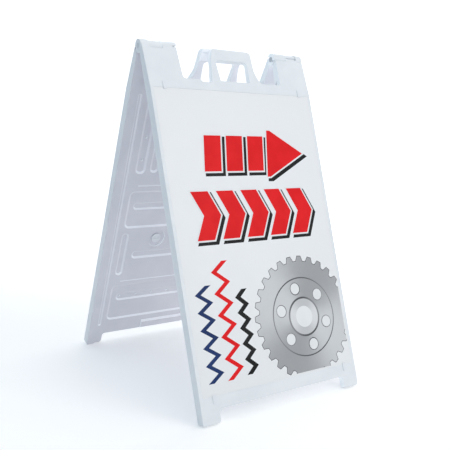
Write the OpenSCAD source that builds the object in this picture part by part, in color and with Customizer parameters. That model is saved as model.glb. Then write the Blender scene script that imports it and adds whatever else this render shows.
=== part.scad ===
// Folding A-frame pavement sign. Two alike hollow blow-moulded panels hang from one hinge axis,
// stand splayed on four feet and fold flat against each other for carrying.
//
// A panel is drawn hanging straight down from the hinge axis, which lies on X at the origin.
// There u runs along the axis, s down the panel and w outwards from the hinge plane, so a point
// is [u, -w, -s]. Each panel is then splayed and lifted so that its soles meet the ground.

/* [Panel] */
// Width of a panel, edge to edge
panel_w = 622; // [600:1:680]
// Distance down the hinge plane from the hinge axis to the ground
leg_l = 1120.5; // [1085:0.5:1200]
// Half of the angle between the two panels when the sign stands open
splay = 20.1; // [16:0.1:22]
// Depth of the side rails, inner edge to outer face
rail_d = 29.5; // [28:0.5:34]
// Width of the side rails
rail_w = 29; // [24:0.5:34]
// Thickness of the hollow field between the rails
core_t = 19.5; // [18.5:0.5:22]
// Wall thickness of the moulding
wall_t = 2.5; // [2:0.1:3.4]
// Space between the hinge plane and each inner edge
fold_gap = 1.5; // [1:0.1:3]
// Rounding of the long outer edges
edge_r = 2.5; // [1.5:0.5:5]

/* [Head] */
// Distance from the hinge axis down to the top edge between ears and handle
head_s = 100; // [92:1:108]
// Distance from the hinge axis down to the line where the flat face begins
face_s = 134; // [128:1:146]
// Width of an ear at its neck
ear_w = 118; // [110:1:124]
// How much an ear grows wider towards its root
ear_flare = 4; // [0:0.5:10]
// Fillets of the outline
fillet_r = 10; // [5:0.5:12]

/* [Hinge] */
// Radius of the two outer knuckles of an ear
knuckle_r = 20; // [17:0.5:22]
// Radius of the middle knuckle
mid_knuckle_r = 18; // [14:0.5:19]
// Length of the knuckle at the panel's edge
end_knuckle_l = 25; // [20:1:30]
// Length of the middle knuckle
mid_knuckle_l = 44; // [36:1:50]
// Length of the knuckle nearest the handle
in_knuckle_l = 49; // [42:1:50]
// Space between neighbouring knuckles
knuckle_gap = 1; // [0.6:0.1:2]
// Radius of the hinge pin
pin_r = 4; // [3:0.25:5]
// Radial clearance of the pin in its bores
pin_clear = 0.06; // [0.02:0.01:0.1]
// Radius of the pin's head
pin_head_r = 8; // [6.5:0.5:9]
// Thickness of the pin's head
pin_head_t = 3; // [2:0.5:4]
// Radius of the push nut on the pin's inner end
nut_r = 8.5; // [7:0.5:10]
// Thickness of the push nut
nut_t = 1.6; // [1:0.1:3]

/* [Handle] */
// From the middle of the panel to the outer side of the handle's narrow leg
grip_narrow_u = 76; // [72:1:80]
// From the middle of the panel to the outer side of its wide leg
grip_wide_u = 88; // [82:1:92]
// Width of the narrow leg
narrow_leg_w = 19; // [16:1:22]
// Width of the wide leg
wide_leg_w = 22; // [18:1:25]
// Height of the grip above the hinge axis
grip_rise = 10; // [7:0.5:11]
// Distance from the hinge axis down to the underside of the grip
grip_under_s = 30; // [26:1:34]
// Spread of a handle leg at its root
grip_flare = 17; // [10:1:22]
// Space left at the stop faces when the sign stands open
stop_gap = 0.15; // [0.1:0.05:0.5]

/* [Feet] */
// Width of a foot
foot_w = 62; // [54:1:70]
// Height of the panel's bottom edge above the soles, along the panel
foot_h = 34.5; // [26:0.5:40]
// Rounding of a foot's lower corners
foot_r = 9; // [4:0.5:10]
// Depth of the sole before it turns up to the outer face
sole_d = 13.5; // [8:0.5:20]

/* [Sheet] */
// Width of the printed sheet
sheet_w = 598; // [560:1:598]
// Height of the printed sheet
sheet_h = 914; // [880:1:914]
// Thickness of the printed sheet
sheet_t = 1; // [0.6:0.1:1.2]
// Clearance around the sheet in its recess
sheet_clear = 0.5; // [0.3:0.1:1]
// Depth of the recess in the face
recess_d = 1.2; // [1:0.1:1.6]
// Distance of a sheet clip from the middle of the panel
clip_u = 261; // [240:1:270]
// Distance of a sheet clip's stem from the sheet's edge
clip_off = 17; // [14:0.5:20]
// Width of a sheet clip
clip_w = 11; // [8:0.5:14]
// Thickness of a sheet clip
clip_t = 1.6; // [1.2:0.1:2]
// How far a clip laps over the sheet
clip_lap = 5; // [3:0.5:8]
// Radius of a clip's stem
clip_stem_r = 3; // [2.5:0.25:4]

/* [Ribbing] */
// Distance down the panel from the hinge axis to the fill boss
boss_s = 678; // [655:1:695]
// Distance of the fill boss from the middle of the panel
boss_u = 100; // [60:1:120]
// Radius of the dish around the fill plug
dish_r = 34; // [28:1:36]
// Depth of the dish and of the long channels
channel_d = 5; // [3:0.5:6]
// Depth of the large shallow fields
field_d = 4; // [2:0.5:5]
// Radius of the fill hole
fill_r = 12.5; // [9:0.5:15]
// Radius of the fill plug's head
plug_head_r = 18; // [16:0.5:21]
// Thickness of the fill plug's head
plug_head_t = 3; // [2:0.5:4]
// Thickness of the gasket under the plug's head
gasket_t = 1.2; // [0.8:0.1:2]

/* [Hidden] */
$fn = 48;

plastic = [0.87, 0.89, 0.92];
steel = [0.62, 0.64, 0.67];
print_white = [0.96, 0.96, 0.96];
clip_plastic = [0.80, 0.83, 0.87];
rubber_black = [0.10, 0.10, 0.11];

// Overrun of every cut past the faces that it opens
over = 1;
half_w = panel_w / 2;
axis_z = leg_l * cos(splay);
face_w = fold_gap + rail_d;
core_w = face_w - core_t;
bottom_s = leg_l - foot_h;
// Past the lowest corner of the soles, for pieces that the ground plane trims
past_sole_s = leg_l + rail_d;
rail_u = half_w - rail_w;
// The step beside each rail
flange_w = 26;
flange_rise = 3;
flange_u = rail_u - flange_w;
ear_u = half_w - ear_w;
hinge_in_u = half_w - end_knuckle_l - mid_knuckle_l - in_knuckle_l - 2 * knuckle_gap;
// Where the ear's inner face slopes back to the field
ear_slope_l = 24;
slope_share = 0.17;
bottom_edge_r = 5;
// Height of the pocket that clears the other panel's knuckle
pocket_s = 10;

// Height of the outer face above the hinge plane at a distance s below the axis
function outer_w(s) = s >= face_s ? face_w : knuckle_r + (face_w - knuckle_r) * max(s, 0) / face_s;
// The ground plane, seen in the panel's own frame
function sole_s(w) = leg_l + w * tan(splay);
// The upright plane that the two handle halves share when open, seen in the panel's own frame
function stop_w(s) = (stop_gap - s * sin(splay)) / cos(splay);

module across(w0, w1) {
    translate([0, -w0, 0]) rotate([90, 0, 0]) linear_extrude(w1 - w0) children();
}
module along(u0, u1) {
    translate([u0, 0, 0]) rotate([90, 0, 90]) linear_extrude(u1 - u0) children();
}
module down(s0, s1) {
    translate([0, 0, -s1]) linear_extrude(s1 - s0) children();
}
module block(u0, u1, w0, w1, s0, s1) {
    translate([u0, -w1, -s1]) cube([u1 - u0, w1 - w0, s1 - s0]);
}
module both_sides() {
    children();
    mirror([1, 0, 0]) children();
}
module rod(u0, u1, r) {
    translate([u0, 0, 0]) rotate([0, 90, 0]) cylinder(r = r, h = u1 - u0);
}
module round_rect(u0, u1, s0, s1, r) {
    if (u1 - u0 > 2 * r) translate([u0 + r, -s1]) square([u1 - u0 - 2 * r, s1 - s0]);
    if (s1 - s0 > 2 * r) translate([u0, r - s1]) square([u1 - u0, s1 - s0 - 2 * r]);
    for (u = [u0 + r, u1 - r], s = [s0 + r, s1 - r]) translate([u, -s]) circle(r);
}
module profile(points) {
    polygon([for (p = points) [-p[0], -p[1]]]);
}
// Flat shape seen square to the face, from corners [u, s, radius]
module outline(corners) {
    n = len(corners);
    polygon([for (i = [0 : n - 1])
        each rounded(corners[(i + n - 1) % n], corners[i], corners[(i + 1) % n])]);
}
corner_steps = 8;
function unit(v) = v / norm(v);
function short_turn(a) = a > 180 ? a - 360 : a < -180 ? a + 360 : a;
function flat_point(c) = [c[0], -c[1]];
// A corner as it is, or the points of the arc that rounds or fillets it
function rounded(before, corner, after) = corner[2] == 0 ? [flat_point(corner)] :
    let(p = flat_point(corner),
        r = corner[2],
        back = unit(flat_point(before) - p),
        on = unit(flat_point(after) - p),
        half = acos(back * on) / 2,
        centre = p + unit(back + on) * r / sin(half),
        from = p + back * r / tan(half) - centre,
        to = p + on * r / tan(half) - centre,
        start = atan2(from[1], from[0]),
        sweep = short_turn(atan2(to[1], to[0]) - start))
    [for (i = [0 : corner_steps])
        centre + r * [cos(start + sweep * i / corner_steps), sin(start + sweep * i / corner_steps)]];
// The corners of the right half, given from the top middle to the bottom middle, and their mirror
function mirrored(corners) = concat(corners,
    [for (i = [len(corners) - 1 : -1 : 0]) [-corners[i][0], corners[i][1], corners[i][2]]]);

module place() {
    translate([0, 0, axis_z]) rotate([-splay, 0, 0]) children();
}
module place_rear() {
    rotate([0, 0, 180]) place() children();
}

// Outline of ears, field and feet, seen square to the face
module panel_outline() {
    outline(mirrored([
        [ear_u - ear_flare, head_s, fillet_r],
        [ear_u, 0, 0],
        [half_w, 0, 0],
        [half_w, sole_s(sole_d), foot_r],
        [half_w - foot_w, sole_s(sole_d), foot_r],
        [half_w - foot_w, bottom_s, fillet_r]]));
}

// Side view of the space a panel may fill: sloped head, flat face and a sole cut to the ground
module panel_side() {
    profile([[fold_gap, 0], [knuckle_r, 0], [face_w, face_s], [face_w, sole_s(sole_d)],
        [sole_d, sole_s(sole_d)], [fold_gap, sole_s(fold_gap)]]);
}

// Side view of the hollow field, whose inner face slopes up to meet the ears
module core_side() {
    profile([[fold_gap, 0], [knuckle_r, 0], [face_w, face_s], [face_w, past_sole_s],
        [core_w, past_sole_s], [core_w, head_s + ear_slope_l], [fold_gap, head_s]]);
}

module rounded_plan() {
    translate([-half_w, -face_w]) {
        translate([edge_r, 0]) square([panel_w - 2 * edge_r, rail_d]);
        translate([0, edge_r]) square([panel_w, rail_d - 2 * edge_r]);
        for (x = [edge_r, panel_w - edge_r], y = [edge_r, rail_d - edge_r]) translate([x, y]) circle(edge_r);
    }
}

// Long channels, fields and dots that stiffen the inner face, each with its own depth
chan_end_u = 218;
chan_half = 17;
upper_chan_s = 544.5;
middle_chan_s = 742;
lower_chan_s = 924.5;
middle_chan_u = 190;
post_chan_u = 227;
post_chan_half = 15;
post_chan_s0 = 648;
post_chan_s1 = 825;
// Left and right side of the two upright fields beside each other
tall_fields = [[197, 238], [148, 184]];
tall_s0 = 150;
tall_s1 = 420;
field_u = 244;
mid_field_s0 = 483;
mid_field_s1 = 631;
low_field_s0 = 867;
low_field_s1 = 1027;
field_r = 16;
groove_half = 3;
groove_d = 1.5;
groove_list = [463.5, 850.5];
dot_r = 5;
dot_d = 11;
dot_step = 68;
dot_count = 7;
tall_dots_share = [0.22, 0.52, 0.82];

module channel(u0, u1, s, half, d, grow) {
    across(core_w - over, core_w + d + grow)
        round_rect(u0 - grow, u1 + grow, s - half - grow, s + half + grow, half + grow);
}
module ribbing(grow) {
    both_sides() {
        for (sides = tall_fields) across(core_w - over, core_w + field_d + grow)
            round_rect(sides[0] - grow, sides[1] + grow, tall_s0 - grow, tall_s1 + grow, field_r);
        across(core_w - over, core_w + channel_d + grow)
            round_rect(post_chan_u - post_chan_half - grow, post_chan_u + post_chan_half + grow,
                post_chan_s0 - grow, post_chan_s1 + grow, post_chan_half);
    }
    across(core_w - over, core_w + field_d + grow)
        round_rect(-field_u - grow, field_u + grow, mid_field_s0 - grow, mid_field_s1 + grow, field_r);
    across(core_w - over, core_w + field_d + grow)
        round_rect(-field_u - grow, field_u + grow, low_field_s0 - grow, low_field_s1 + grow, field_r);
    channel(-chan_end_u, chan_end_u, upper_chan_s, chan_half, field_d + channel_d, grow);
    channel(-middle_chan_u, middle_chan_u, middle_chan_s, chan_half, channel_d, grow);
    channel(-chan_end_u, chan_end_u, lower_chan_s, chan_half, field_d + channel_d, grow);
    translate([boss_u, over - core_w, -boss_s]) rotate([90, 0, 0])
        cylinder(r = dish_r + grow, h = channel_d + grow + over);
}
module grooves() {
    for (s = groove_list) channel(-chan_end_u, chan_end_u, s, groove_half, groove_d, 0);
}
// Dots where the inner wall is pressed down to meet the face
module dots(r, depth) {
    for (i = [0 : dot_count - 1])
        dimple((i - (dot_count - 1) / 2) * dot_step, lower_chan_s, r, depth);
    both_sides() for (share = tall_dots_share)
        dimple((tall_fields[0][0] + tall_fields[0][1]) / 2, tall_s0 + share * (tall_s1 - tall_s0), r, depth);
}
module dimple(u, s, r, depth) {
    translate([u, over - core_w, -s]) rotate([90, 0, 0]) cylinder(r = r, h = depth + over);
}

// The hollow inside the moulding, one wall in from every face
module hollow() {
    hollow_face_w = face_w - recess_d - wall_t;
    core_in_w = core_w + wall_t;
    slope_in_w = core_in_w + ear_slope_l * slope_share;
    difference() {
        union() {
            block(wall_t - half_w, half_w - wall_t, core_in_w, hollow_face_w,
                face_s + wall_t, bottom_s - wall_t);
            block(wall_t - half_w, half_w - wall_t, slope_in_w,
                outer_w(head_s) - wall_t, head_s + fillet_r + wall_t, face_s + 2 * wall_t);
            both_sides() {
                block(rail_u + wall_t, half_w - wall_t, fold_gap + wall_t, hollow_face_w,
                    face_s + wall_t, leg_l - wall_t);
                block(half_w - foot_w + wall_t, half_w - wall_t, core_in_w, hollow_face_w,
                    face_s + wall_t, leg_l - wall_t);
                block(ear_u + wall_t, half_w - wall_t, fold_gap + wall_t,
                    outer_w(knuckle_r) - wall_t, knuckle_r + 2 * neck_r + wall_t, head_s);
                block(rail_u + wall_t, half_w - wall_t, fold_gap + wall_t,
                    outer_w(head_s) - wall_t, head_s - wall_t, face_s + 2 * wall_t);
                block(ear_u + wall_t, half_w - wall_t, slope_in_w,
                    outer_w(head_s) - wall_t, head_s - wall_t, face_s);
            }
        }
        ribbing(wall_t);
        dots(dot_r + wall_t, core_t);
        both_sides() for (s = clip_places()) clip_boss(s);
    }
}
function clip_places() = [face_s - clip_off, face_s + sheet_h + clip_off];
clip_boss_r = clip_stem_r + wall_t;
module clip_boss(s) {
    translate([clip_u, 0, -s]) rotate([90, 0, 0]) cylinder(r = clip_boss_r, h = face_w);
}

// Knuckles of a panel: two on its left ear and the middle one on its right ear
mid_out_u = half_w - end_knuckle_l - knuckle_gap;
mid_in_u = mid_out_u - mid_knuckle_l;
in_out_u = mid_in_u - knuckle_gap;
module own_knuckles() {
    rod(-half_w, end_knuckle_l - half_w, knuckle_r);
    rod(-in_out_u, -hinge_in_u, knuckle_r);
    rod(mid_in_u, mid_out_u, mid_knuckle_r);
}
module pocket(u0, u1, r) {
    rod(u0, u1, r);
    block(u0, u1, -face_w, face_w, -knuckle_r - over, pocket_s);
}
module knuckle_pockets() {
    r_gap = knuckle_gap;
    pocket(-mid_out_u - knuckle_gap, knuckle_gap - mid_in_u, mid_knuckle_r + r_gap);
    pocket(mid_out_u, half_w + over, knuckle_r + r_gap);
    pocket(ear_u - ear_flare - over, mid_in_u, knuckle_r + r_gap);
}
module pin_bores() {
    rod(-half_w - over, over - hinge_in_u, pin_r + pin_clear);
    rod(hinge_in_u - over, half_w + over, pin_r + pin_clear);
    rod(-half_w - over, pin_head_t - half_w, pin_head_r + pin_clear);
}
// Notch under the hooked end of the inner knuckle
neck_r = 2.5;
neck_u = 13;
module neck_notch() {
    u = hinge_in_u + neck_u;
    translate([-u, over, -knuckle_r - neck_r / 2]) rotate([90, 0, 0])
        linear_extrude(2 * face_w) union() {
            circle(neck_r);
            translate([0, -neck_r]) square([neck_u + over, 2 * neck_r]);
        }
}

// Half of the carrying handle, moulded with the panel; its upper inner faces are the open stop
grip_top_w = 13;
crown_share = 0.7;
leg_back_w = 8;
leg_back_s0 = 40;
leg_back_s1 = 80;
grip_r = 10;
wide_side_s = 60;
narrow_side_s = 30;
side_r = 60;
narrow_top_in = 18;
grip_root_s = head_s + fillet_r;
// The head's edge dips beside the narrow leg and inside the hand gap
dip_s = head_s + 7;
dip_w = 40;
dip_in = 8;
dip_taper = 4;
dip_r = 8;
hand_gap_taper = 5;
hand_gap_r = 12;
module handle_side() {
    plane_s = -(fold_gap * cos(splay) - stop_gap) / sin(splay);
    step_w = (leg_back_w - fold_gap) / 3;
    step_s = (leg_back_s0 - grip_under_s) / 3;
    profile([[fold_gap, grip_under_s - step_s], [fold_gap, plane_s], [stop_w(-grip_rise), -grip_rise],
        [grip_top_w, -grip_rise], [(grip_top_w + knuckle_r) / 2, -grip_rise * crown_share], [knuckle_r, 0],
        [outer_w(grip_root_s), grip_root_s], [core_w, grip_root_s], [core_w, head_s],
        [leg_back_w, leg_back_s1], [leg_back_w, leg_back_s0],
        [leg_back_w - step_w, grip_under_s + step_s], [fold_gap + step_w, grip_under_s]]);
}
module handle_outline() {
    root_u = grip_wide_u + grip_flare + 2 * fillet_r;
    difference() {
        outline([
            [narrow_top_in - grip_narrow_u, -grip_rise, grip_r],
            [grip_wide_u, -grip_rise, grip_r],
            [grip_wide_u, wide_side_s, side_r],
            [grip_wide_u + grip_flare, head_s, 2 * fillet_r],
            [root_u, head_s, 0],
            [root_u, grip_root_s, 0],
            [-grip_narrow_u - dip_in, grip_root_s, 0],
            [-grip_narrow_u - dip_in, dip_s, 0],
            [-grip_narrow_u, wide_side_s, side_r],
            [-grip_narrow_u, narrow_side_s, side_r]]);
        outline([
            [narrow_leg_w - grip_narrow_u, grip_under_s, hand_gap_r],
            [grip_wide_u - wide_leg_w, grip_under_s, hand_gap_r],
            [grip_wide_u - wide_leg_w - hand_gap_taper, dip_s, hand_gap_r],
            [narrow_leg_w - grip_narrow_u + hand_gap_taper, dip_s, hand_gap_r]]);
    }
}
module dips() {
    outer_u = -grip_narrow_u - dip_in - dip_w;
    across(0, face_w + over) {
        outline([
            [outer_u - dip_taper, head_s - dip_in, 0],
            [dip_taper - grip_narrow_u - dip_in, head_s - dip_in, 0],
            [-grip_narrow_u - dip_in, dip_s, dip_r],
            [outer_u, dip_s, dip_r]]);
        outline([
            [narrow_leg_w - grip_narrow_u, head_s - 2 * hand_gap_r, 0],
            [grip_wide_u - wide_leg_w, head_s - 2 * hand_gap_r, 0],
            [grip_wide_u - wide_leg_w - hand_gap_taper, dip_s, hand_gap_r],
            [narrow_leg_w - grip_narrow_u + hand_gap_taper, dip_s, hand_gap_r]]);
    }
}
module handle_half() {
    intersection() {
        across(0, face_w) handle_outline();
        along(-ear_u, ear_u) handle_side();
    }
}

// Grip bulge under the lower edge of the inner face
lip_half = 90;
lip_h = 38;
lip_rise = 7;
module lip() {
    along(-lip_half, lip_half)
        profile([[core_w, bottom_s - lip_h], [core_w - lip_rise, bottom_s - lip_h + lip_rise],
            [core_w - lip_rise, bottom_s - bottom_edge_r], [core_w, bottom_s - over],
            [core_w + wall_t, bottom_s - over], [core_w + wall_t, bottom_s - lip_h]]);
}

module bottom_round() {
    foot_u = half_w - foot_w - foot_r;
    difference() {
        block(-foot_u, foot_u, face_w - bottom_edge_r, face_w + over, bottom_s - bottom_edge_r, bottom_s + over);
        translate([-foot_u - over, bottom_edge_r - face_w, bottom_edge_r - bottom_s])
            rotate([0, 90, 0]) cylinder(r = bottom_edge_r, h = 2 * (foot_u + over));
    }
}

module panel_body() {
    intersection() {
        across(0, face_w) panel_outline();
        along(-half_w, half_w) panel_side();
        down(0, past_sole_s) rounded_plan();
        union() {
            along(-half_w, half_w) core_side();
            both_sides() {
                block(rail_u, half_w, fold_gap, face_w, 0, past_sole_s);
                block(flange_u, rail_u, core_w - flange_rise, face_w, head_s, bottom_s);
            }
        }
    }
}

module panel() {
    difference() {
        union() {
            difference() {
                panel_body();
                knuckle_pockets();
                neck_notch();
                dips();
                hollow();
            }
            own_knuckles();
            handle_half();
            lip();
        }
        ribbing(0);
        grooves();
        dots(dot_r, dot_d);
        pin_bores();
        across(face_w - recess_d, face_w + over)
            round_rect(-sheet_w / 2 - sheet_clear, sheet_w / 2 + sheet_clear,
                face_s, face_s + sheet_h, edge_r);
        translate([boss_u, -core_w, -boss_s]) rotate([90, 0, 0])
            cylinder(r = fill_r, h = core_t - recess_d - 2 * wall_t);
        both_sides() for (s = clip_places())
            at_clip(s) rotate([-90, 0, 0]) translate([0, 0, -over])
                cylinder(r = clip_stem_r + pin_clear, h = clip_hole_l + over);
        bottom_round();
    }
}
clip_hole_l = core_t / 2;

// Headed pin pushed in from the panel's edge, held by a push nut behind the inner knuckle
module hinge_pin() {
    rod(pin_head_t - half_w, 2 * nut_t - hinge_in_u, pin_r);
    rod(-half_w, pin_head_t - half_w, pin_head_r);
}
module push_nut() {
    difference() {
        rod(-hinge_in_u, nut_t - hinge_in_u, nut_r);
        rod(-hinge_in_u - over, nut_t + over - hinge_in_u, pin_r);
    }
}

// The place of a sheet clip, square to the outer face there
module at_clip(s) {
    tilt = s < face_s ? atan((face_w - knuckle_r) / face_s) : 0;
    translate([clip_u, -outer_w(s), -s]) rotate([-tilt, 0, 0]) children();
}
// A sheet clip lies on the face and laps over the sheet's edge
module sheet_clip(s) {
    reach = clip_off + clip_lap;
    at_clip(s) mirror([0, 0, s < face_s ? 0 : 1]) {
        rotate([90, 0, 0]) linear_extrude(clip_t) union() {
            translate([-clip_w / 2, -reach]) square([clip_w, reach]);
            circle(clip_w / 2);
        }
        rotate([-90, 0, 0]) cylinder(r = clip_stem_r, h = clip_hole_l - over);
    }
}
module sheet_clips() {
    both_sides() for (s = clip_places()) sheet_clip(s);
}
module sheet() {
    across(face_w - recess_d, face_w - recess_d + sheet_t)
        round_rect(-sheet_w / 2, sheet_w / 2, face_s + sheet_clear, face_s + sheet_h - sheet_clear, edge_r);
}

dish_w = core_w + channel_d;
slot_w = 4;
slot_length_share = 0.7;
slot_depth_share = 0.6;
module fill_plug() {
    head_w = dish_w - gasket_t;
    translate([boss_u, -head_w, -boss_s]) rotate([90, 0, 0]) difference() {
        union() {
            cylinder(r = fill_r - pin_clear, h = gasket_t + 2 * wall_t);
            translate([0, 0, -plug_head_t]) cylinder(r = plug_head_r, h = plug_head_t);
        }
        translate([-plug_head_r * slot_length_share, -slot_w / 2, -plug_head_t - over])
            cube([2 * plug_head_r * slot_length_share, slot_w, plug_head_t * slot_depth_share + over]);
    }
}
module plug_gasket() {
    translate([boss_u, -dish_w, -boss_s]) rotate([-90, 0, 0]) difference() {
        cylinder(r = plug_head_r - pin_head_t / 2, h = gasket_t);
        translate([0, 0, -over]) cylinder(r = fill_r, h = gasket_t + 2 * over);
    }
}

module front_panel() { color(plastic) place() panel(); }
module rear_panel() { color(plastic) place_rear() panel(); }
module left_hinge_pin() { color(steel) place() hinge_pin(); }
module right_hinge_pin() { color(steel) place_rear() hinge_pin(); }
module left_push_nut() { color(steel) place() push_nut(); }
module right_push_nut() { color(steel) place_rear() push_nut(); }
module front_sheet() { color(print_white) place() sheet(); }
module rear_sheet() { color(print_white) place_rear() sheet(); }
module front_sheet_clips() { color(clip_plastic) place() sheet_clips(); }
module rear_sheet_clips() { color(clip_plastic) place_rear() sheet_clips(); }
module front_fill_plug() { color(plastic) place() fill_plug(); }
module rear_fill_plug() { color(plastic) place_rear() fill_plug(); }
module front_plug_gasket() { color(rubber_black) place() plug_gasket(); }
module rear_plug_gasket() { color(rubber_black) place_rear() plug_gasket(); }

front_panel();
rear_panel();
left_hinge_pin();
right_hinge_pin();
left_push_nut();
right_push_nut();
front_sheet();
rear_sheet();
front_sheet_clips();
rear_sheet_clips();
front_fill_plug();
rear_fill_plug();
front_plug_gasket();
rear_plug_gasket();
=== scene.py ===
import math
import bmesh
import bpy
from mathutils import Matrix, Vector


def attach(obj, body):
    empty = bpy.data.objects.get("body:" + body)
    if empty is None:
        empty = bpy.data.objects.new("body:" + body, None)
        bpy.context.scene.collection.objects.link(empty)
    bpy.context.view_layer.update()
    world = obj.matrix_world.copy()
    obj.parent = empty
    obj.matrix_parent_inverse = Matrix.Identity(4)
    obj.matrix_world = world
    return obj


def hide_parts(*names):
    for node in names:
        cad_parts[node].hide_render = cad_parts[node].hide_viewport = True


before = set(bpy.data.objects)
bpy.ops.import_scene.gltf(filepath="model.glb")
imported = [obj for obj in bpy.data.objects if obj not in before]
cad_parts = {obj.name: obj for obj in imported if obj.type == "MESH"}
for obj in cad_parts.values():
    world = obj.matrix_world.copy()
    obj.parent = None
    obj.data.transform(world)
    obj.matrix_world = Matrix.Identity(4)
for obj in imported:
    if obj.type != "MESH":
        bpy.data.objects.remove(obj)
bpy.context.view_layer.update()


# The view: a camera in front of the sign and to its left, a little lower than the upper edge of the face.
# Its place, turn and lens were fitted to the corners, feet and hinge ends in the photograph.
photo_px = 450
focal_px = 662.61
middle_x, middle_y = 228.08, 280.21
camera_spot = Vector((-1.28052, -1.83374, 0.87007))
yaw = math.radians(36.05)
pitch = math.radians(14.1)
roll = math.radians(2.56)
ahead = Vector((math.sin(yaw) * math.cos(pitch), math.cos(yaw) * math.cos(pitch), -math.sin(pitch)))
level_right = Vector((math.cos(yaw), -math.sin(yaw), 0))
level_up = level_right.cross(ahead)
right = level_right * math.cos(roll) + level_up * math.sin(roll)
up = level_up * math.cos(roll) - level_right * math.sin(roll)
lens = bpy.data.cameras.new("photo_view")
lens.sensor_width = 36
lens.lens = focal_px / photo_px * 36
lens.shift_x = (photo_px / 2 - middle_x) / photo_px
lens.shift_y = (middle_y - photo_px / 2) / photo_px
lens.clip_end = 60
camera = bpy.data.objects.new("photo_view", lens)
bpy.context.scene.collection.objects.link(camera)
camera.matrix_world = Matrix.Translation(camera_spot) @ Matrix((right, up, -ahead)).transposed().to_4x4()
bpy.context.scene.camera = camera


# The studio: one pale paper sweep that lies under the sign and turns up far behind it. A big soft lamp
# stands in front to the right, a small one beside the sign and a wide one hangs overhead. The room is
# softly bright, whiter and stronger from the right than from the left.
sweep_half = 9
sweep_back = 7
sweep_high = 7
sweep_turn = 2.5
near_back, far_back = 0.2, 3
near_paper = (0.21, 0.21, 0.21, 1)
far_paper = (0.6, 0.6, 0.6, 1)
bright_way = (0.86, -0.28, 0.42)
dim_room, bright_room = 0.33, 0.78
dim_tint = (0.60, 0.95, 1.24)
bright_tint = (0.96, 0.965, 0.975)
full_tint_at = 0.6


def pick_none():
    """Leaves nothing selected, since the frame and every new primitive arrive selected."""
    if bpy.context.object and bpy.context.object.mode != "OBJECT":
        bpy.ops.object.mode_set(mode="OBJECT")
    bpy.ops.object.select_all(action="DESELECT")


def take(piece):
    """Makes this piece the only one selected, and the active one."""
    pick_none()
    piece.select_set(True)
    bpy.context.view_layer.objects.active = piece


def settle(piece):
    """Writes the piece's place, turn and scale into its mesh."""
    take(piece)
    bpy.ops.object.transform_apply(location=True, rotation=True, scale=True)


def open_edges(piece, wanted):
    """Opens the piece in edit mode with only those edges selected whose two ends pass the test."""
    take(piece)
    bpy.ops.object.mode_set(mode="EDIT")
    bpy.ops.mesh.select_mode(type="EDGE")
    bpy.ops.mesh.select_all(action="DESELECT")
    mesh = bmesh.from_edit_mesh(piece.data)
    for edge in mesh.edges:
        edge.select_set(bool(wanted(edge.verts[0].co, edge.verts[1].co)))
    bmesh.update_edit_mesh(piece.data)


def round_edges(piece, wanted, width, steps):
    """Rounds the edges that pass the test."""
    open_edges(piece, wanted)
    bpy.ops.mesh.bevel(offset_type="OFFSET", offset=width, segments=steps, profile=0.5, affect="EDGES")
    bpy.ops.object.mode_set(mode="OBJECT")


class Value:
    """A shader socket, so that sums written on it add their Math nodes."""

    def __init__(self, finish, socket):
        self.finish = finish
        self.socket = socket

    def maths(self, operation, *others):
        return self.finish.node("Math", {"operation": operation}, dict(enumerate((self, *others))))

    def __add__(self, other):
        return self.maths("ADD", other)

    def __sub__(self, other):
        return self.maths("SUBTRACT", other)

    def __mul__(self, other):
        return self.maths("MULTIPLY", other)


class Finish:
    """One material: its shader's own sockets, and a method that adds any other node."""

    def __init__(self, name, **settings):
        self.material = bpy.data.materials.new(name)
        self.material.use_nodes = True
        self.tree = self.material.node_tree
        self.shader = self.tree.nodes["Principled BSDF"]
        for socket, value in settings.items():
            self.shader.inputs[socket.replace("_", " ")].default_value = value
        self.place = self.node("TexCoord", {}, {}, "Object")

    def node(self, kind, settings, inputs, output=0):
        made = self.tree.nodes.new("ShaderNode" + kind)
        for name, value in settings.items():
            setattr(made, name, value)
        for name, value in inputs.items():
            self.link(made.inputs[name], value)
        return Value(self, made.outputs[output])

    def link(self, socket, value):
        if isinstance(value, Value):
            self.tree.links.new(value.socket, socket)
        else:
            socket.default_value = value

    def feed(self, socket, value):
        self.link(self.shader.inputs[socket], value)

    def noise(self, scale, detail):
        """Cloudy grain, with scale in patches per metre."""
        return self.node("TexNoise", {}, {"Vector": self.place, "Scale": scale, "Detail": detail,
                                          "Roughness": 0.5}, "Fac")

    def span(self, value, low, high, to_low=0.0, to_high=1.0):
        """Turns low..high into to_low..to_high, smoothly, and holds it there outside."""
        return self.node("MapRange", {"interpolation_type": "SMOOTHSTEP"},
                         {"Value": value, "From Min": low, "From Max": high,
                          "To Min": to_low, "To Max": to_high})

    def blend(self, share, one, two):
        """Goes from colour one to colour two."""
        return self.node("Mix", {"data_type": "RGBA"}, {0: share, 6: one, 7: two}, 2)

    def bump(self, height, depth):
        """Relief, with depth in metres for a height of one."""
        self.feed("Normal", self.node("Bump", {}, {"Height": height, "Distance": depth, "Strength": 1.0}))

    def axis(self, name):
        return self.node("SeparateXYZ", {}, {0: self.place}, name)

    def on(self, piece):
        piece.data.materials.clear()
        piece.data.materials.append(self.material)


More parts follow.
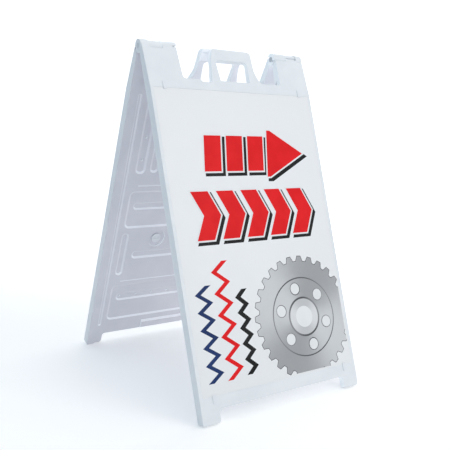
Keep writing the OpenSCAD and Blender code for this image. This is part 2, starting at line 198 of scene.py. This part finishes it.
pick_none()
bpy.ops.mesh.primitive_plane_add(size=2)
sweep = bpy.context.object
sweep.name = "paper_sweep"
for corner in sweep.data.vertices:
    corner.co = (corner.co.x * sweep_half, sweep_back if corner.co.y > 0 else -sweep_half, 0)
open_edges(sweep, lambda one, two: one.y > 0 and two.y > 0)
bpy.ops.mesh.extrude_region_move(TRANSFORM_OT_translate={"value": (0, 0, sweep_high)})
bpy.ops.object.mode_set(mode="OBJECT")
round_edges(sweep, lambda one, two: one.y > 0 and two.y > 0 and one.z == 0 and two.z == 0, sweep_turn, 16)
bpy.ops.object.shade_smooth()
sweep.rotation_euler.z = -yaw
settle(sweep)
paper = Finish("sweep_paper", Base_Color=(0.9, 0.9, 0.9, 1), Roughness=0.9, Emission_Strength=1.0)
paper_back = paper.axis("X") * math.sin(yaw) + paper.axis("Y") * math.cos(yaw)
paper.feed("Emission Color", paper.blend(paper.span(paper_back, near_back, far_back), near_paper, far_paper))
paper.bump(paper.noise(400, 3), 0.0001)
paper.on(sweep)

room = bpy.data.worlds.new("room")
room.use_nodes = True
air = room.node_tree.nodes["Background"]
whole_room = room.node_tree.nodes.new("ShaderNodeTexCoord")
to_the_right = room.node_tree.nodes.new("ShaderNodeVectorMath")
to_the_right.operation = "DOT_PRODUCT"
to_the_right.inputs[1].default_value = bright_way
brightness = room.node_tree.nodes.new("ShaderNodeMapRange")
brightness.inputs["From Min"].default_value = -1.0
brightness.inputs["To Min"].default_value = dim_room
brightness.inputs["To Max"].default_value = bright_room
tint = room.node_tree.nodes.new("ShaderNodeMapRange")
tint.data_type = "FLOAT_VECTOR"
for number, value in ((7, [-1.0] * 3), (8, [full_tint_at] * 3), (9, dim_tint), (10, bright_tint)):
    tint.inputs[number].default_value = value
for output, socket in ((whole_room.outputs["Generated"], to_the_right.inputs[0]),
                       (to_the_right.outputs["Value"], brightness.inputs["Value"]),
                       (brightness.outputs["Result"], air.inputs["Strength"]),
                       (to_the_right.outputs["Value"], tint.inputs[6]),
                       (tint.outputs[1], air.inputs["Color"])):
    room.node_tree.links.new(output, socket)
bpy.context.scene.world = room
bpy.context.scene.view_settings.view_transform = "Standard"


def softbox(name, spot, target, size, power, shade):
    """A square lamp that looks at a point."""
    lamp = bpy.data.lights.new(name, "AREA")
    lamp.shape = "SQUARE"
    lamp.size = size
    lamp.energy = power
    lamp.color = shade
    holder = bpy.data.objects.new(name, lamp)
    bpy.context.scene.collection.objects.link(holder)
    holder.location = spot
    holder.rotation_euler = (Vector(target) - Vector(spot)).to_track_quat("-Z", "Y").to_euler()


softbox("front_softbox", spot=(1.7, -3.4, 2.5), target=(0, 0, 0.55), size=2.2, power=34,
        shade=(1.0, 0.99, 0.97))
softbox("right_softbox", spot=(2.4, 0.45, 1.5), target=(0, 0.2, 0.55), size=0.8, power=6,
        shade=(1.0, 0.96, 0.96))
softbox("top_softbox", spot=(0, 0, 3.6), target=(0, 0, 0), size=3.0, power=26,
        shade=(1.0, 1.0, 1.0))


# The two leaves: one mould makes both, in white blow moulded plastic about two and a half millimetres
# thick, hollow between its outer face and its stiffened inner face. Ears, feet, half a carrying handle
# and three hinge knuckles are part of each leaf. Places are u across, s down from the axis and w outwards.
half_w = 0.311
leg_l = 1.1205
splay = math.radians(20.1)
axis_z = leg_l * math.cos(splay)
inner_w = 0.0015
core_w = 0.0115
face_w = 0.031
head_s = 0.100
slope_l = 0.024
face_s = 0.134
bottom_s = 1.086
sole_d = 0.0135
sole_s = leg_l + sole_d * math.tan(splay)
edge_r = 0.0025
edge_round = 0.0012
fillet_r = 0.010
foot_w = 0.062
foot_r = 0.009
ear_u = 0.193
ear_root_u = 0.189
rail_u = 0.282
flange_u = 0.256
flange_rise = 0.003
hair = 0.00001
long_edge = 0.05

# How far the shapes that cut reach past what they cut
past_ear_u = 0.180
past_edge_u = 0.330
above_head_s = 0.06
past_sole_s = 1.2
inside_w = -0.02
outside_w = 0.05
far_outside_w = 0.06

# The hinge: on the left ear an outer and an inner knuckle, on the right ear the middle one
knuckle_r = 0.020
mid_knuckle_r = 0.018
knuckle_gap = 0.001
outer_in_u = 0.286
mid_out_u, mid_in_u = 0.285, 0.241
inner_out_u, inner_in_u = 0.240, 0.191
pocket_s0, pocket_s1 = -0.03, 0.010
knuckles = [(-half_w, -outer_in_u, knuckle_r), (-inner_out_u, -inner_in_u, knuckle_r),
            (mid_in_u, mid_out_u, mid_knuckle_r)]
pockets = [(-outer_in_u, -inner_out_u, mid_knuckle_r), (mid_out_u, past_edge_u, knuckle_r),
           (past_ear_u, mid_in_u, knuckle_r)]
bore_r = 0.00406
head_bore_r = 0.00806
pin_head_t = 0.003
notch_w = 0.0075
notch_line = [(-0.2055, -0.003, 0.0024), (-0.2055, 0.0025, 0.0024), (-past_ear_u, 0.0025),
              (-past_ear_u, -0.003)]

# The handle half, its hand gap, the dip beside it and the lip under the lower edge, (u, s, radius) or (w, s)
grip_w0, grip_w1 = -0.005, 0.045
grip_side_u = 0.2
grip_line = [(-0.058, -0.010, 0.010), (0.087, -0.010, 0.014), (0.088, 0.060, 0.050), (0.105, head_s, 0.020),
             (0.128, head_s), (0.128, 0.112), (-0.125, 0.112), (-0.118, 0.107, 0.004), (-0.086, 0.107, 0.008),
             (-0.076, 0.060, 0.060), (-0.074, 0.030, 0.060)]
hand_gap_line = [(-0.057, 0.030, 0.012), (0.066, 0.030, 0.012), (0.062, 0.107, 0.012), (-0.051, 0.107, 0.012)]
grip_side = [(inner_w, 0.026), (inner_w, -0.00366), (0.00383, -0.010), (0.013, -0.010), (0.0165, -0.007),
             (0.020, 0), (0.0294, 0.115), (core_w, 0.115), (core_w, head_s), (0.0085, 0.080), (0.008, 0.040),
             (0.0065, 0.033), (0.0035, 0.028)]
dip_line = [(-0.128, 0.080), (-0.080, 0.080), (-0.084, 0.1069, 0.008), (-0.124, 0.1069, 0.008)]
lip_half = 0.090
lip_side = [(core_w, 1.048), (0.0045, 1.055), (0.0045, 1.081), (core_w, 1.085), (0.014, 1.085),
            (0.014, 1.048)]

# Wells in the inner face: across, down, corner radius, depth, run of the wall, its steps, level it starts at
field_d = 0.004
channel_d = 0.005
field_channel_d = 0.004
groove_d = 0.0015
rail_groove_d = 0.0035
wall_run = 0.010
wall_steps = 6
tightest_r = 0.0004
side_wells = [(0.197, 0.238, 0.150, 0.422, 0.018, field_d),
              (0.148, 0.184, 0.150, 0.418, 0.016, field_d),
              (0.212, 0.242, 0.648, 0.825, 0.0149, channel_d, 0.008),
              (0.262, 0.277, 0.145, 1.045, 0.0074, rail_groove_d, 0.006, 6, core_w - flange_rise)]
middle_wells = [(0.242, 0.483, 0.631, 0.022, field_d),
                (0.246, 0.867, 1.027, 0.022, field_d),
                (0.218, 0.529, 0.560, 0.0154, field_channel_d, 0.008, 6, core_w + field_d),
                (0.190, 0.725, 0.759, 0.0169, channel_d, 0.009),
                (0.220, 0.906, 0.943, 0.0184, field_channel_d, 0.009, 6, core_w + field_d),
                (0.216, 0.460, 0.467, 0.0034, groove_d, 0.003, 3),
                (0.216, 0.847, 0.854, 0.0034, groove_d, 0.003, 3)]

# The dish, the fill hole, the pressed dots, the seat of the sheet and the clip holes
boss_u, boss_s = 0.100, 0.678
dish_r = 0.034
dish_round = 0.0015
fill_r = 0.0125
fill_w0, fill_w1 = 0.01, core_w + 0.015
dot_r = 0.005
dot_s = 0.922
dot_step = 0.068
dot_count = 7
dot_w = core_w + 0.011
tall_dot_u = 0.2175
tall_dot_s0, tall_dot_run = 0.153, 0.265
tall_dot_w = core_w + 0.010
seat_half = 0.2995
seat_h = 0.914
seat_r = 0.004
seat_w = face_w - 0.0012
clip_u = 0.261
clip_hole_r = 0.00306
clip_hole_w = face_w - 0.012

outer_shades = (0.76, 0.79, 0.82, 1), (0.80, 0.825, 0.85, 1)
# The inner colours are painted shade: faces that look towards the other leaf get this darker, bluer copy of
# the plastic colour.
inner_painted_shade = (0.70, 0.70, 0.755, 1), (0.73, 0.73, 0.78, 1)
no_light = (0, 0, 0, 1)
# The glow colour below is painted light: the plastic emits it where it stands in for light shining through
# thin walls and for lit relief.
painted_glow_colour = (0.23, 0.25, 0.26, 1)
head_low_z, head_high_z = axis_z - 0.11, axis_z - 0.085


def bend(before, corner, after, steps):
    """The points that round or fillet one corner of an outline."""
    spot = Vector(corner[:2])
    if len(corner) < 3 or corner[2] == 0:
        return [spot]
    back = (Vector(before[:2]) - spot).normalized()
    on = (Vector(after[:2]) - spot).normalized()
    half = back.angle(on) / 2
    centre = spot + (back + on).normalized() * corner[2] / math.sin(half)
    start = spot + back * corner[2] / math.tan(half) - centre
    end = spot + on * corner[2] / math.tan(half) - centre
    sweep_angle = start.angle_signed(end)
    return [centre + Matrix.Rotation(-sweep_angle * step / steps, 2) @ start for step in range(steps + 1)]


def drawn(corners, steps=8):
    """The whole outline with its corners rounded."""
    count = len(corners)
    return [point for number, corner in enumerate(corners)
            for point in bend(corners[number - 1], corner, corners[(number + 1) % count], steps)]


def both_halves(corners):
    """Adds the mirror image of an outline given from the top middle to the bottom middle."""
    return corners + [(-corner[0], *corner[1:]) for corner in reversed(corners)]


def box_outline(u0, u1, s0, s1, r=0.0):
    return [(u0, s0, r), (u1, s0, r), (u1, s1, r), (u0, s1, r)]


def open_all(piece):
    """Opens the piece in edit mode with all of it selected."""
    take(piece)
    bpy.ops.object.mode_set(mode="EDIT")
    bpy.ops.mesh.select_all(action="SELECT")


def tidy(piece):
    """Merges doubles and turns all faces outwards."""
    open_all(piece)
    bpy.ops.mesh.remove_doubles(threshold=0.000001)
    bpy.ops.mesh.normals_make_consistent(inside=False)
    bpy.ops.object.mode_set(mode="OBJECT")


def board(name, outline, low, high, along_u=False):
    """A ring moved onto an outline, filled and pulled thick, square to the face or along the axis."""
    pick_none()
    bpy.ops.mesh.primitive_circle_add(vertices=len(outline), radius=0.1, fill_type="NGON")
    piece = bpy.context.object
    piece.name = name
    for vertex, point in zip(piece.data.vertices, outline):
        vertex.co = (low, -point[0], -point[1]) if along_u else (point[0], -low, -point[1])
    open_all(piece)
    pull = (high - low, 0, 0) if along_u else (0, low - high, 0)
    bpy.ops.mesh.extrude_region_move(TRANSFORM_OT_translate={"value": pull})
    bpy.ops.object.mode_set(mode="OBJECT")
    tidy(piece)
    return piece


def trim(piece, spot, normal):
    """Cuts off what lies beyond a plane and closes the cut."""
    open_all(piece)
    bpy.ops.mesh.bisect(plane_co=spot, plane_no=normal, use_fill=True, clear_outer=True)
    bpy.ops.object.mode_set(mode="OBJECT")


def combine(piece, other, way):
    """Joins the other shape on, cuts it out or keeps what both share, and uses it up."""
    take(piece)
    step = piece.modifiers.new("combine", "BOOLEAN")
    step.operation = way
    step.solver = "EXACT"
    step.object = other
    bpy.ops.object.modifier_apply(modifier=step.name)
    bpy.data.objects.remove(other)
    open_all(piece)
    bpy.ops.mesh.remove_doubles(threshold=0.000002)
    bpy.ops.mesh.dissolve_degenerate(threshold=0.000002)
    bpy.ops.object.mode_set(mode="OBJECT")


def bar(name, r, length, spot, turn, faces):
    pick_none()
    bpy.ops.mesh.primitive_cylinder_add(vertices=faces, radius=r, depth=length, location=spot, rotation=turn)
    piece = bpy.context.object
    piece.name = name
    settle(piece)
    return piece


def rod(name, u0, u1, r, faces=48):
    """A cylinder along the hinge axis."""
    return bar(name, r, u1 - u0, ((u0 + u1) / 2, 0, 0), (math.pi / faces, math.pi / 2, 0), faces)


def stud(name, u, s, r, w0, w1, faces=32):
    """A cylinder square to the face."""
    return bar(name, r, w1 - w0, (u, -(w0 + w1) / 2, -s), (math.pi / 2, 0, 0), faces)


def merge(pieces):
    """Makes separate shapes one object."""
    take(pieces[0])
    for piece in pieces[1:]:
        piece.select_set(True)
    bpy.ops.object.join()
    return bpy.context.object


leaf = board("front_leaf_moulding", drawn(both_halves([
    (ear_root_u, head_s, fillet_r), (ear_u, 0), (half_w, 0), (half_w, sole_s, foot_r),
    (half_w - foot_w, sole_s, foot_r), (half_w - foot_w, bottom_s, fillet_r)])), inner_w, face_w)
trim(leaf, (0, -face_w, -face_s), (0, -face_s, face_w - knuckle_r))
trim(leaf, (0, 0, -leg_l), (0, math.sin(splay), -math.cos(splay)))
tidy(leaf)
round_edges(leaf, lambda one, two: abs(abs(one.x) - half_w) < hair and abs(one.x - two.x) < hair
            and abs(one.z - two.z) > long_edge, edge_r, 3)
tidy(leaf)

for reach, level in ((rail_u, core_w - flange_rise), (flange_u, core_w)):
    hollow = board("hollow", box_outline(-reach, reach, above_head_s, past_sole_s), inside_w, level)
    trim(hollow, (0, -inner_w, -head_s), (0, slope_l, core_w - inner_w))
    combine(leaf, hollow, "DIFFERENCE")

for u0, u1, r in pockets:
    combine(leaf, rod("pocket", u0, u1, r + knuckle_gap), "DIFFERENCE")
    combine(leaf, board("pocket", box_outline(u0, u1, pocket_s0, pocket_s1), -outside_w, outside_w),
            "DIFFERENCE")
for u0, u1, r in knuckles:
    combine(leaf, rod("knuckle", u0, u1, r, 64), "UNION")
combine(leaf, board("notch", drawn(notch_line), notch_w, outside_w), "DIFFERENCE")

grip = board("grip", drawn(grip_line), grip_w0, grip_w1)
combine(grip, board("hand_gap", drawn(hand_gap_line), inside_w, far_outside_w), "DIFFERENCE")
combine(grip, board("grip_side", grip_side, -grip_side_u, grip_side_u, along_u=True), "INTERSECT")
combine(leaf, board("dip", drawn(dip_line), inside_w, far_outside_w), "DIFFERENCE")
combine(leaf, grip, "UNION")
combine(leaf, board("lift_lip", lip_side, -lip_half, lip_half, along_u=True), "UNION")


def well(u0, u1, s0, s1, r, depth, run=wall_run, steps=wall_steps, base=core_w):
    """Cuts a hollow into the inner face whose walls run down in a soft S."""
    levels = [(0, inside_w)]
    for step in range(steps + 1):
        share = step / steps
        levels.append((run * step / steps, base + depth * (3 * share ** 2 - 2 * share ** 3)))
    outlines = [drawn(box_outline(u0 + inset, u1 - inset, s0 + inset, s1 - inset,
                                  max(r - inset, tightest_r)), 6)
                for inset, level in levels]
    pick_none()
    bpy.ops.mesh.primitive_circle_add(vertices=len(outlines[0]), radius=0.1, fill_type="NGON")
    cutter = bpy.context.object
    for vertex, point in zip(cutter.data.vertices, outlines[0]):
        vertex.co = (point[0], -inside_w, -point[1])
    for (inset, level), before, outline in zip(levels[1:], outlines, outlines[1:]):
        bpy.ops.object.mode_set(mode="EDIT")
        bpy.ops.mesh.extrude_region_move(TRANSFORM_OT_translate={"value": (0, -0.001, 0)})
        mesh = bmesh.from_edit_mesh(cutter.data)
        for vertex in [vertex for vertex in mesh.verts if vertex.select]:
            spot = Vector((vertex.co.x, -vertex.co.z))
            nearest = min(range(len(before)), key=lambda number: (before[number] - spot).length)
            vertex.co = (outline[nearest][0], -level, -outline[nearest][1])
        bmesh.update_edit_mesh(cutter.data)
        bpy.ops.object.mode_set(mode="OBJECT")
    tidy(cutter)
    combine(leaf, cutter, "DIFFERENCE")


for side in (-1, 1):
    for u0, u1, *rest in side_wells:
        well(*sorted((side * u0, side * u1)), *rest)
for reach, *rest in middle_wells:
    well(-reach, reach, *rest)
dish = stud("dish", boss_u, boss_s, dish_r, 0, core_w + channel_d, 64)
round_edges(dish, lambda one, two: one.y < -core_w and two.y < -core_w, dish_round, 2)
combine(leaf, dish, "DIFFERENCE")
dots = [stud("dot", (number - dot_count // 2) * dot_step, dot_s, dot_r, 0, dot_w)
        for number in range(dot_count)]
dots += [stud("dot", side * tall_dot_u, tall_dot_s0 + share * tall_dot_run, dot_r, 0, tall_dot_w)
         for side in (-1, 1) for share in (0.22, 0.52, 0.82)]
combine(leaf, merge(dots), "DIFFERENCE")
combine(leaf, stud("fill_hole", boss_u, boss_s, fill_r, fill_w0, fill_w1, 48), "DIFFERENCE")
combine(leaf, rod("bore", -past_edge_u, past_edge_u, bore_r), "DIFFERENCE")
combine(leaf, rod("head_seat", -past_edge_u, pin_head_t - half_w, head_bore_r), "DIFFERENCE")
combine(leaf, board("sheet_seat", drawn(box_outline(-seat_half, seat_half, face_s, face_s + seat_h, seat_r)),
                    seat_w, outside_w), "DIFFERENCE")
combine(leaf, merge([stud("clip_hole", side * clip_u, s, clip_hole_r, clip_hole_w, outside_w)
                     for side in (-1, 1) for s in (0.117, 1.065)]), "DIFFERENCE")
tidy(leaf)

take(leaf)
soften = leaf.modifiers.new("soft_edges", "BEVEL")
soften.limit_method = "ANGLE"
soften.angle_limit = math.radians(32)
soften.width = edge_round
soften.segments = 2
soften.use_clamp_overlap = True
bpy.ops.object.modifier_apply(modifier=soften.name)
bpy.ops.object.shade_smooth_by_angle(angle=math.radians(40))
even = leaf.modifiers.new("even_faces", "WEIGHTED_NORMAL")
even.keep_sharp = True
even.weight = 90
bpy.ops.object.modifier_apply(modifier=even.name)
leaf.matrix_world = Matrix.Translation((0, 0, axis_z)) @ Matrix.Rotation(-splay, 4, "X")
settle(leaf)

moulding = Finish("panel_plastic", IOR=1.5, Emission_Strength=1.0)
moulding.feed("Roughness", moulding.span(moulding.noise(60, 4), 0.3, 0.7, 0.38, 0.52))
moulding.bump(moulding.noise(900, 2) * 0.35 + moulding.noise(120, 2) * 0.65, 0.00012)
facing = moulding.node("NewGeometry", {}, {}, "Normal")
facing_x, facing_y, facing_z = [moulding.node("SeparateXYZ", {}, {0: facing}, name) for name in "XYZ"]
which_leaf = moulding.axis("Y").maths("SIGN")
aside = facing_x.maths("ABSOLUTE")
inwards = moulding.span(facing_y * which_leaf * -1, 0.2, 0.9)
uphill = moulding.span(facing_z * math.cos(splay) - facing_y * which_leaf * math.sin(splay), 0.04, 0.42)
cloud = moulding.span(moulding.noise(9, 3), 0.35, 0.65)
# Painted shade: faces that look inwards, towards the other leaf, take the darker, bluer inner colours. The
# cloud mixes in tone that differs at random.
moulding.feed("Base Color", moulding.blend(inwards, moulding.blend(cloud, *outer_shades),
                                           moulding.blend(cloud, *inner_painted_shade)))
# Painted light: in the head and along the side edges the faces glow by their own emission. The glow is
# stronger where they face sideways, inwards or uphill, or lie near the ridge. It stands in for light shining
# through the thin plastic and for lit edges of the relief.
from_middle = moulding.axis("X").maths("ABSOLUTE")
from_ridge = moulding.axis("Y").maths("ABSOLUTE")
in_head = moulding.span(moulding.axis("Z"), head_low_z, head_high_z) * moulding.span(from_middle, 0.25, 0.24)
below_head = moulding.span(moulding.axis("Z"), head_high_z, head_low_z)
painted_head_glow = aside * 0.75 + inwards * 0.75 + moulding.span(from_ridge, 0.016, 0.006) * 0.4
painted_edge_glow = moulding.span(from_middle, 0.305, 0.3) * (uphill * 0.9 + aside * 0.7)
painted_glow_share = in_head * painted_head_glow + painted_edge_glow * below_head
moulding.feed("Emission Color", moulding.blend(painted_glow_share, no_light, painted_glow_colour))
moulding.on(leaf)


def turned_copy(piece, name):
    """The same piece on the other leaf, half a turn round the upright."""
    take(piece)
    bpy.ops.object.duplicate()
    copy = bpy.context.object
    copy.name = name
    copy.rotation_euler.z = math.pi
    settle(copy)
    return copy


rear_leaf = turned_copy(leaf, "rear_leaf_moulding")
for moulded, body, node in ((leaf, "front_leaf", "front_panel"), (rear_leaf, "rear_leaf", "rear_panel")):
    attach(moulded, body)
    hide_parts(node)


# The sign sheets and their clips: one millimetre white plastic board with a satin face lies in the
# shallow seat of each leaf. Four small moulded clips, pressed into the leaf at the corners, hold it.
sheet_shades = (0.80, 0.81, 0.825, 1), (0.82, 0.828, 0.84, 1)
clip_shades = (0.74, 0.77, 0.81, 1), (0.80, 0.82, 0.85, 1)

board_white = Finish("sheet_plastic", IOR=1.49)
board_white.feed("Base Color", board_white.blend(board_white.noise(4, 2), *sheet_shades))
board_white.feed("Roughness", board_white.span(board_white.noise(30, 4), 0.3, 0.7, 0.3, 0.4))
board_white.bump(board_white.noise(6, 2) + board_white.noise(700, 2) * 0.02, 0.0006)
for node in ("front_sheet", "rear_sheet"):
    board_white.on(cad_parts[node])

clip_finish = Finish("clip_plastic", Roughness=0.3, IOR=1.49)
clip_finish.feed("Base Color", clip_finish.blend(clip_finish.noise(200, 2), *clip_shades))
clip_finish.bump(clip_finish.noise(1500, 2), 0.00005)
for node in ("front_sheet_clips", "rear_sheet_clips"):
    clip_finish.on(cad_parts[node])


# The print on both sheets: screen ink in thin layers, black under white under colour, with no bare edges.
# A long arrow in blocks and a row of chevrons stand above zigzag bands and a grey cog wheel, which the
# margin cuts off.
sheet_top = face_w - 0.0002
ink_t = 0.00003
margin_u = 0.294
margin_s = 1.042
stroke_s0, stroke_s1 = 0.276, 0.388
chevron_s0, chevron_s1, chevron_s2 = 0.448, 0.522, 0.596
shadow_u, shadow_s, shadow_w = 0.008, 0.009, 0.006
rim_w = 0.005
band_turns = 11
band_w = 0.021
cog_u, cog_s = 0.126, 0.868
cog_r = 0.196
cog_teeth = 28
tooth_h = 0.017
cog_line = 0.0016
hole_count = 6
hole_turn = 0.3


def grown(outline, by):
    """The outline moved out on every side, corners kept sharp."""
    points = [Vector(point) for point in outline]
    turn = sum(one.x * two.y - two.x * one.y for one, two in zip(points, points[1:] + points[:1]))
    moved = []
    for number, point in enumerate(points):
        after = points[(number + 1) % len(points)]
        into, out = (point - points[number - 1]).normalized(), (after - point).normalized()
        side_in, side_out = [Vector((way.y, -way.x)) * math.copysign(1, turn) for way in (into, out)]
        both = (side_in + side_out).normalized()
        moved.append(point + both * by / max(both.dot(side_in), 0.5))
    return moved


def shifted(outline, u, s):
    return [Vector(point) + Vector((u, s)) for point in outline]


def ink(name, outlines, layer, finish):
    """Prints flat shapes on the front sheet as one film, and a copy on the rear one."""
    film = merge([board(name, outline, sheet_top - hair, sheet_top + layer * ink_t) for outline in outlines])
    film.name = "front_" + name
    for spot, way in (((margin_u, 0, 0), (1, 0, 0)), ((0, 0, -margin_s), (0, 0, -1))):
        trim(film, spot, way)
    film.matrix_world = Matrix.Translation((0, 0, axis_z)) @ Matrix.Rotation(-splay, 4, "X")
    settle(film)
    finish.on(film)
    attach(film, "front_leaf")
    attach(turned_copy(film, "rear_" + name), "rear_leaf")


def satin_ink(name):
    """The surface that all the inks share, still without a colour."""
    made = Finish(name, IOR=1.5, Specular_IOR_Level=0.1)
    made.feed("Roughness", made.span(made.noise(180, 3), 0.3, 0.7, 0.3, 0.42))
    made.bump(made.noise(800, 2), 0.00002)
    return made


def plain_ink(name, one, two):
    """Ink of one colour, a little uneven."""
    made = satin_ink(name)
    made.feed("Base Color", made.blend(made.span(made.noise(14, 4), 0.35, 0.65), (*one, 1), (*two, 1)))
    return made


red_ink = plain_ink("red_ink", (0.74, 0.008, 0.012), (0.80, 0.012, 0.016))
black_ink = plain_ink("black_ink", (0.010, 0.010, 0.011), (0.018, 0.018, 0.019))
blue_ink = plain_ink("blue_ink", (0.016, 0.036, 0.12), (0.020, 0.044, 0.15))
white_ink = plain_ink("white_ink", (0.78, 0.79, 0.80), (0.81, 0.82, 0.83))

blocks = [[(u + 0.016, stroke_s0), (u + 0.078, stroke_s0), (u + 0.062, stroke_s1), (u, stroke_s1)]
          for u in (-0.168, -0.086, -0.004)]
blocks.append([(0.094, 0.256), (0.106, 0.256), (0.232, 0.332), (0.082, 0.408), (0.070, 0.408),
               (0.082, 0.332)])
blocks += [[(u, chevron_s0), (u + 0.062, chevron_s0), (u + 0.098, chevron_s1), (u + 0.062, chevron_s2),
            (u, chevron_s2), (u + 0.036, chevron_s1)] for u in (-0.232, -0.140, -0.048, 0.044, 0.136)]
ink("block_shadows", [shifted(grown(block, shadow_w), shadow_u, shadow_s) for block in blocks], 1, black_ink)
ink("block_rims", [grown(block, rim_w) for block in blocks], 2, white_ink)
ink("block_fills", blocks, 3, red_ink)


def zigzag(u0, u1, s0, s1):
    """A band that runs from side to side on its way down."""
    line = [Vector((u0 if number % 2 else u1 - band_w, s0 + (s1 - s0) * number / band_turns))
            for number in range(band_turns + 1)]
    return line + [point + Vector((band_w, 0)) for point in reversed(line)]


for name, finish, bounds in (("blue_band", blue_ink, (-0.272, -0.212, 0.728, 1.012)),
                             ("red_band", red_ink, (-0.204, -0.140, 0.660, 1.014)),
                             ("black_band", black_ink, (-0.132, -0.084, 0.752, 1.010))):
    ink(name, [zigzag(*bounds)], 1, finish)


def cog_outline():
    """The edge of the cog wheel, four points to a tooth."""
    root = cog_r - tooth_h
    points = []
    for number in range(cog_teeth):
        for share, r in ((0.04, root), (0.22, cog_r), (0.54, cog_r), (0.72, root)):
            angle = 2 * math.pi * (number + share) / cog_teeth
            points.append((cog_u + r * math.cos(angle), cog_s + r * math.sin(angle)))
    return points


def disc(r, around=0.0, at=0.0, count=64):
    """A circle on the cog's middle, or so far from it at an angle."""
    middle = Vector((cog_u + around * math.cos(at), cog_s + around * math.sin(at)))
    return [middle + Vector((r * math.cos(2 * math.pi * n / count), r * math.sin(2 * math.pi * n / count)))
            for n in range(count)]


def cog_holes(r, around):
    """The ring of round holes in the cog's web."""
    return [disc(r, around, number * math.pi / 3 + hole_turn, 40) for number in range(hole_count)]


def cog_ink(name, dark, light, lean):
    """Grey ink in two broad sheens that fan out from the cog's middle, with fine turned rings."""
    made = satin_ink(name)
    below_axis = (made.axis("Z") - axis_z) * -1
    across = made.axis("X") * made.axis("Y").maths("SIGN") * -1 - cog_u
    down = made.axis("Y").maths("ABSOLUTE") * math.sin(splay) + below_axis * math.cos(splay) - cog_s
    reach = (across * across + down * down).maths("SQRT")
    fan = (down.maths("ARCTAN2", across) * 2 + lean).maths("SINE")
    rings = (reach * 2600).maths("SINE")
    tone = made.span(fan * 0.8 + rings * 0.12 + made.noise(30, 4) * 0.3, -0.7, 1.0)
    made.feed("Base Color", made.blend(tone, (*dark, 1), (*light, 1)))
    return made


cog_grey = cog_ink("cog_grey", (0.36, 0.365, 0.375), (0.62, 0.63, 0.645), 0.6)
cog_dark = cog_ink("cog_dark", (0.10, 0.10, 0.105), (0.28, 0.28, 0.29), 2.2)
cog_light = cog_ink("cog_light", (0.54, 0.545, 0.555), (0.72, 0.725, 0.735), 1.4)
ink("cog_edge", [grown(cog_outline(), cog_line)], 1, black_ink)
ink("cog_face", [cog_outline()], 2, cog_grey)
for name, r, layer, finish in (("cog_groove", 0.128, 3, cog_dark), ("cog_web", 0.124, 4, cog_grey),
                               ("cog_hub_edge", 0.064, 5, cog_dark), ("cog_hub", 0.058, 6, cog_light),
                               ("cog_bore", 0.034, 7, white_ink)):
    ink(name, [disc(r)], layer, finish)
ink("cog_hole_edges", cog_holes(0.0205, 0.094), 5, cog_dark)
ink("cog_holes", cog_holes(0.018, 0.0945), 6, white_ink)


# The hinge pins and push nuts: drawn steel pins with a flat head and stamped nuts, all dull plated.
# Each pin is pushed in from the edge of the sign through the knuckles of one ear, and the nut keeps it there.
steel_shades = (0.70, 0.71, 0.73, 1), (0.82, 0.82, 0.83, 1)

plated = Finish("pin_steel", Metallic=1.0)
plated.feed("Base Color", plated.blend(plated.noise(300, 3), *steel_shades))
plated.feed("Roughness", plated.span(plated.noise(500, 3), 0.3, 0.7, 0.35, 0.55))
plated.bump(plated.noise(2500, 2), 0.00003)
for node in ("left_hinge_pin", "right_hinge_pin", "left_push_nut", "right_push_nut"):
    plated.on(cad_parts[node])


# The fill plugs and gaskets: a white plastic push plug with a slot across its head, on a black rubber ring.
# It closes the hole in the dish of each leaf, and is of the same plastic as the clips.
rubber_shades = (0.012, 0.012, 0.013, 1), (0.03, 0.03, 0.03, 1)

for node in ("front_fill_plug", "rear_fill_plug"):
    clip_finish.on(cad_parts[node])
rubber = Finish("gasket_rubber", Roughness=0.7)
rubber.feed("Base Color", rubber.blend(rubber.noise(400, 2), *rubber_shades))
rubber.bump(rubber.noise(2000, 2), 0.00005)
for node in ("front_plug_gasket", "rear_plug_gasket"):
    rubber.on(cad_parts[node])
